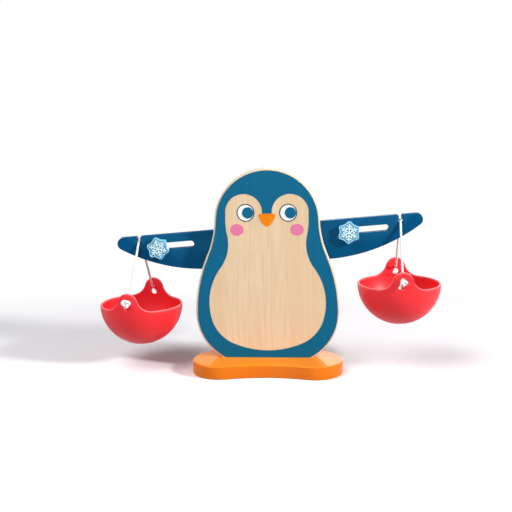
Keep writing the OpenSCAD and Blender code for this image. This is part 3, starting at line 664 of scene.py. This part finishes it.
def crystal_distance(x, y):
    """Distance from the crystal's middle lines: six arms, each with two pairs of barbs that
    lean outwards at 60 degrees."""
    lean_u, lean_v = 0.5, math.sqrt(0.75)
    a = np.arctan2(y, x)
    a = np.abs(np.mod(a + np.pi / 6, np.pi / 3) - np.pi / 6)
    r = np.hypot(x, y)
    u, v = r * np.cos(a), r * np.sin(a)
    gap = np.hypot(u - np.clip(u, 0, ARM_LEN), v)
    for place, length in BARBS:
        along = np.clip((u - place) * lean_u + v * lean_v, 0, length)
        gap = np.minimum(gap, np.hypot(u - place - lean_u * along, v - lean_v * along))
    return gap


def snowflake(side):
    """Snowflake knob as a polar surface: flat back, straight side with rounded edges, raised
    rim, sunk field and a raised crystal with soft shoulders."""
    columns, face_rows = 360, 76
    back_edge, front_edge = 0.5, 0.9
    angle = np.linspace(0, 2 * np.pi, columns, endpoint=False)
    reach = flake_reach(angle)
    top = FLAKE_T + RIM_H
    rows = [(reach * s, np.zeros(columns)) for s in (0.02, 0.5)]
    for a in np.radians(np.linspace(0, 90, 5)):
        rows.append((reach - back_edge * (1 - math.sin(a)),
                     np.full(columns, back_edge * (1 - math.cos(a)))))
    for a in np.radians(np.linspace(0, 90, 8)):
        rows.append((reach - front_edge * (1 - math.cos(a)),
                     np.full(columns, top - front_edge * (1 - math.sin(a)))))
    face_from = len(rows)
    rows += [((reach - front_edge) * s, np.full(columns, top))
             for s in np.linspace(1, 0.004, face_rows)[1:]]
    r, z = (np.array([row[k] for row in rows]) for k in (0, 1))
    x, y = r * np.cos(angle), r * np.sin(angle)
    face = np.arange(len(rows))[:, None] >= face_from
    inside = np.where(face, rise(reach - r, RIM_W - 0.25, RIM_W + 0.35), 0)
    shoulder = rise(crystal_distance(x, y), ARM_W / 2 - 0.15, ARM_W / 2 + 0.3)
    raised = np.where(face, 1 - shoulder, 0)
    z = z - RIM_H * inside + CRYSTAL_H * raised * inside
    turn = math.radians(KNOB_TURN[side])
    across = x * math.cos(turn) - y * math.sin(turn)
    up = x * math.sin(turn) + y * math.cos(turn)
    local = np.stack([KNOB_X[side] + across, KNOB_BACK_Y - z, up - KNOB_DROP], -1)
    points = on_beam(local.reshape(-1, 3))
    piece = mesh_piece(side + "_flake_body", points,
                       outward(points, grid_faces(len(rows), columns)),
                       side + "_knob", "flake_plastic", side + "_snowflake")
    paint_points(piece.data, "field", inside)
    paint_points(piece.data, "crystal", raised * inside)


for which in ("left", "right"):
    snowflake(which)


# Slings and pails
def crown(side):
    """Top of a cord in its notch on the tilted beam."""
    return on_beam(np.array([[SIDE[side] * NOTCH_X, BEAM_Y, -CROWN_DROP]]))[0]


def from_sling(side, points):
    """Points in a sling's own frame (across, out to the back ear, up from the crown) in the row
    frame."""
    a = math.radians(TWIST[side])
    x = points[:, 0] * math.cos(a) + points[:, 1] * math.sin(a)
    y = -points[:, 0] * math.sin(a) + points[:, 1] * math.cos(a)
    return np.column_stack([x, y, points[:, 2]]) + crown(side)


def tube(path, radius, sides):
    """Tube swept along a path with a frame carried from ring to ring. Its section has three
    rounded plies that wind along it, one turn in each lay length."""
    valley, swell, roundness = 0.93, 0.07, 0.7
    first_side = [1.0, 0.03, 0.02]
    ahead = np.gradient(path, axis=0)
    ahead /= np.linalg.norm(ahead, axis=1)[:, None]
    run = np.concatenate([[0], np.cumsum(np.linalg.norm(np.diff(path, axis=0), axis=1))])
    normal = np.cross(ahead[0], first_side)
    frames = []
    for d in ahead:
        normal = normal - d * (normal @ d)
        normal /= np.linalg.norm(normal)
        frames.append((normal, np.cross(d, normal)))
    n, b = (np.array([f[k] for f in frames]) for k in (0, 1))
    angle = np.linspace(0, 2 * np.pi, sides, endpoint=False)
    wind = 2 * np.pi * run / PLY_LAY
    ply = np.abs(np.cos(1.5 * (angle[None] - wind[:, None]))) ** roundness
    r = radius * (valley + swell * ply)
    ring = n[:, None] * np.cos(angle)[None, :, None] + b[:, None] * np.sin(angle)[None, :, None]
    return (path[:, None] + r[..., None] * ring).reshape(-1, 3), grid_faces(len(path), sides)


def half_route(steps):
    """One half of a cord's line as (out, up) from its crown: over the saddle, down a straight
    strand, round into its seat."""
    turn = np.array([PAIL_R - PAIL_WALL - CORD_R, BEND_R - HANG])
    top = np.array([0, -CROWN_R])
    lean = math.asin((CROWN_R + BEND_R) / np.linalg.norm(turn - top))
    way = math.radians(heading(top, turn)) - lean
    over = top + CROWN_R * ray(np.linspace(math.pi / 2, math.pi / 2 + way, steps))
    bend = turn + BEND_R * ray(np.linspace(way - math.pi / 2, -math.pi / 2, steps))
    strand = np.linspace(over[-1], bend[0], 6 * steps)[1:-1]
    last = np.array([PAIL_R + RUN_GAP + CORD_R, -HANG])
    return np.concatenate([over, strand, bend, np.linspace(bend[-1], last, 6)[1:]])


def cord(side):
    """White cord over its notch and into both ears of the pail, in three wound plies."""
    half = half_route(steps=12)
    line = np.concatenate([half[:0:-1] * [-1, 1], half])
    points, faces = tube(np.column_stack([np.zeros(len(line)), line]), CORD_R, sides=18)
    points = from_sling(side, points)
    mesh_piece(side + "_cord_line", points, outward(points, faces),
               side + "_sling", "cord_white", side + "_cord")


# Size of each overhand knot, its lean in degrees, the length of its tail and its cord's radius,
# for the front (-1) and the back (1) of each pail
KNOT_FORM = {
    ("left", -1): (1.36, 2, 2.0, 1.7),
    ("left", 1): (1.15, -20, 5.0, 1.35),
    ("right", -1): (1.1, 34, 6.0, 1.45),
    ("right", 1): (1.15, 25, 5.0, 1.35),
}


def knot_path(scale, lean, tail):
    """Middle line of an overhand knot, a three-lobed loop that passes over and under itself.
    It is cut open at the lobe that points down, and one end runs on as a short tail."""
    opening, depth = 0.42, 1.3
    droop, straighten = np.array([0, 0.1, -0.6]), 0.6
    t = np.linspace(np.pi + opening, 3 * np.pi - opening, 110)
    loop = np.column_stack([scale * (np.sin(t) + 2 * np.sin(2 * t)), -depth * np.sin(3 * t),
                            scale * (np.cos(t) - 2 * np.cos(2 * t))])
    way = loop[-1] - loop[-2]
    way = way / np.linalg.norm(way)
    s = np.linspace(0, 1, 16)[1:, None]
    end = loop[-1] + tail * s * (way * (1 - straighten * s) + droop * s)
    path = np.concatenate([loop, end])
    a = math.radians(lean)
    return np.column_stack([path[:, 0] * math.cos(a) + path[:, 2] * math.sin(a), path[:, 1],
                            -path[:, 0] * math.sin(a) + path[:, 2] * math.cos(a)])


def knots(side):
    """An overhand knot outside each ear, drawn up against it."""
    points, faces = [], []
    for sign in (-1, 1):
        *form, radius = KNOT_FORM[side, sign]
        path = knot_path(*form)
        path[:, 1] += PAIL_R + RUN_GAP + radius - path[:, 1].min()
        p, f = tube(path * [1, sign, 1] + [0, 0, -HANG], radius, sides=16)
        p = from_sling(side, p)
        start = sum(len(q) for q in points)
        faces += [[k + start for k in face] for face in outward(p, f)]
        points.append(p)
    mesh_piece(side + "_knot_pair", np.concatenate(points), faces,
               side + "_sling", "cord_white", side + "_knots")


def ear_height(across):
    """Height of a pail's edge above its rim line at a distance across from an ear's middle:
    a round ear top that runs through a hollow curve into the flat rim."""
    centre = EAR_H - EAR_R
    reach = math.sqrt((EAR_R + EAR_FILLET) ** 2 - (EAR_FILLET - centre) ** 2)
    meet = reach * EAR_R / (EAR_R + EAR_FILLET)
    d = np.abs(across)
    round_top = centre + np.sqrt(np.maximum(EAR_R**2 - d**2, 0))
    hollow = EAR_FILLET - np.sqrt(np.maximum(EAR_FILLET**2 - (reach - d) ** 2, 0))
    return np.where(d < meet, round_top, np.where(d < reach, hollow, 0.0))


def keyhole():
    """Outline of a cord hole from its centre: a round hole, a narrow slit above it and a small
    round seat."""
    hole, seat = HOLE_D / 2, CORD_R + RUN_GAP
    low, high = math.asin(SLIT_W / 2 / hole), math.asin(SLIT_W / 2 / seat)
    round_hole = hole * ray(np.linspace(np.pi / 2 + low, 2.5 * np.pi - low, 49))
    seat_ray = ray(np.linspace(high - np.pi / 2, 1.5 * np.pi - high, 33))
    return np.concatenate([round_hole, np.array([0, SLIT_RISE]) + seat * seat_ray])


def pail(side):
    """Half-round pail: its section runs from the middle of the floor up the inside, over a
    rounded lip, and down the outside to the flat foot. The lip's height goes round with the
    ears at the front and back."""
    columns = 480
    cut_from, cut_to = PAIL_R - 6, PAIL_R + 4
    round_angle = np.linspace(0, 2 * np.pi, columns, endpoint=False)
    height = ear_height(PAIL_R * np.sin(round_angle))
    inner, lip = PAIL_R - PAIL_WALL, PAIL_WALL / 2
    foot = math.sqrt(PAIL_R**2 - PAIL_FOOT_R**2)
    floor = PAIL_WALL - foot
    floor_r = math.sqrt(inner**2 - floor**2)
    flat = np.ones(columns)
    inside = np.linspace(math.asin(floor / inner), -math.asin(lip / inner), 26)
    outside = np.linspace(-math.asin(lip / PAIL_R), -math.asin(foot / PAIL_R), 28)
    rows = [(s * floor_r * flat, floor * flat) for s in (0.02, 0.5)]
    rows += [(inner * math.cos(a) * flat, inner * math.sin(a) * flat) for a in inside]
    rows += [(inner * flat, s * height - lip) for s in np.linspace(0, 1, 10)[1:]]
    rows += [(inner + lip * (1 + math.cos(a)) * flat, height - lip + lip * math.sin(a))
             for a in np.linspace(np.pi, 0, 10)[1:-1]]
    rows += [(PAIL_R * flat, s * height - lip) for s in np.linspace(1, 0, 10)[:-1]]
    rows += [(PAIL_R * math.cos(a) * flat, PAIL_R * math.sin(a) * flat) for a in outside]
    rows += [(s * PAIL_FOOT_R * flat, -foot * flat) for s in (0.6, 0.02)]
    r, z = (np.array([row[k] for row in rows]) for k in (0, 1))
    local = np.stack([r * np.sin(round_angle), r * np.cos(round_angle), z - RIM_DROP], -1)
    points = from_sling(side, local.reshape(-1, 3))
    piece = mesh_piece(side + "_pail_body", points,
                       outward(points, grid_faces(len(rows), columns)),
                       side + "_bucket", "pail_red", side + "_pail")
    for sign in (-1, 1):
        points, faces = prism(keyhole() + [0, HOLE_UP - RIM_DROP], sign * cut_from, sign * cut_to)
        cut_away(piece, from_sling(side, points), faces)
    paint_lip_highlight(side, piece.data)


def paint_lip_highlight(side, mesh):
    """Attribute that is 1 on the rounded lip of a pail and fades to 0 just below it, where the
    pail's material paints a pale highlight.
    """
    fade_from, fade_to = 0.3, 1.5
    points = np.empty(3 * len(mesh.vertices))
    mesh.vertices.foreach_get("co", points)
    points = points.reshape(-1, 3) / MM - crown(side)
    a = math.radians(TWIST[side])
    x = points[:, 0] * math.cos(a) - points[:, 1] * math.sin(a)
    y = points[:, 0] * math.sin(a) + points[:, 1] * math.cos(a)
    edge = ear_height(PAIL_R * x / np.maximum(np.hypot(x, y), 1))
    below = edge - (points[:, 2] + RIM_DROP)
    # The lip attribute marks where the pail's material paints its pale highlight.
    paint_points(mesh, "lip", 1 - rise(below, fade_from, fade_to))


for which in ("left", "right"):
    cord(which)
    knots(which)
    pail(which)


# Studio, in metres and watts
FLOOR_HALF = 6
FLOOR_BOUNCE = (0.4, 0.4, 0.4)
FLOOR_PAPER = (1.03, 1.01, 1.04), (1.05, 1.03, 1.06)
FADE_FROM, FADE_TO, FADE_STRETCH = 0.28, 0.4, (0.45, 1, 1)
LAMP_AIM = (0, 0, 0.08)
LAMPS = (  # name, place, size, power
    ("key", (1.5, -0.76, 0.86), 0.24, 32),
    ("left", (-0.82, -0.6, 1.5), 1.1, 18.5),
    ("front", (-0.2, -2.4, 0.45), 0.8, 9),
    ("back", (0.5, 2.2, 0.8), 1.2, 10),
)


def add_floor():
    """White paper floor. It is white where it is seen and keeps the shadows, throws less light
    back than it shows, and fades to plain white away from the object."""
    h = FLOOR_HALF
    floor_mesh = bpy.data.meshes.new("floor")
    floor_mesh.from_pydata([(-h, -h, 0), (h, -h, 0), (h, h, 0), (-h, h, 0)], [], [(0, 1, 2, 3)])
    floor = bpy.data.objects.new("floor", floor_mesh)
    scene.collection.objects.link(floor)
    s = Shader("floor_white")
    s.tree.nodes.remove(s.bsdf)
    cloud = s.noise(s.where, 2, detail=2)
    seen = s.add("ShaderNodeLightPath").outputs
    direct = s.math("MAXIMUM", seen["Is Camera Ray"], seen["Is Glossy Ray"])
    direct = s.math("MAXIMUM", direct, seen["Is Transmission Ray"])
    paper = s.mix(cloud, *FLOOR_PAPER)
    near = s.add("ShaderNodeBsdfDiffuse", Color=s.mix(direct, FLOOR_BOUNCE, paper))
    far = s.add("ShaderNodeEmission", Color=(1.0, 1.0, 1.0), Strength=1.0)
    length = s.tree.nodes.new("ShaderNodeVectorMath")
    length.operation = "LENGTH"
    s.link(s.scaled(FADE_STRETCH), length.inputs[0])
    away = s.span(length.outputs["Value"], FADE_FROM, FADE_TO, 0, 1)
    fade = s.add("ShaderNodeMixShader")
    s.link(s.math("MULTIPLY", direct, away), fade.inputs[0])
    s.link(near.outputs[0], fade.inputs[1])
    s.link(far.outputs[0], fade.inputs[2])
    s.link(fade.outputs[0], s.out.inputs[0])
    floor_mesh.materials.append(s.material)


def add_surround():
    """Surround that is white where it is seen, mirrored or looked through, and otherwise only a
    faint fill of light."""
    world = bpy.data.worlds.new("surround")
    world.use_nodes = True
    tree = world.node_tree
    tree.nodes.clear()
    out = tree.nodes.new("ShaderNodeOutputWorld")
    mix = tree.nodes.new("ShaderNodeMixShader")
    path = tree.nodes.new("ShaderNodeLightPath")
    fill, white = ((0.97, 0.98, 1.0, 1), 0.14), ((1, 1, 1, 1), 1.0)
    for place, (colour, strength) in ((1, fill), (2, white)):
        light = tree.nodes.new("ShaderNodeBackground")
        light.inputs["Color"].default_value = colour
        light.inputs["Strength"].default_value = strength
        tree.links.new(light.outputs[0], mix.inputs[place])
    seen = path.outputs["Is Camera Ray"]
    for kind in ("Is Glossy Ray", "Is Transmission Ray"):
        either = tree.nodes.new("ShaderNodeMath")
        either.operation = "MAXIMUM"
        tree.links.new(seen, either.inputs[0])
        tree.links.new(path.outputs[kind], either.inputs[1])
        seen = either.outputs[0]
    tree.links.new(seen, mix.inputs[0])
    tree.links.new(mix.outputs[0], out.inputs[0])
    scene.world = world


def add_lamps():
    """Four soft lamps. A strong one from the right throws the long shadow to the left, a higher
    one from the left the short shadow to the right, a low one lights the front and a broad one
    the back."""
    for name, place, size, watts in LAMPS:
        data = bpy.data.lights.new(name, "AREA")
        data.energy, data.size = watts, size
        lamp = bpy.data.objects.new(name, data)
        lamp.location = place
        lamp.rotation_mode = "QUATERNION"
        lamp.rotation_quaternion = (Vector(LAMP_AIM) - Vector(place)).to_track_quat("-Z", "Y")
        scene.collection.objects.link(lamp)


add_floor()
add_surround()
add_lamps()
scene.view_settings.view_transform = "Standard"
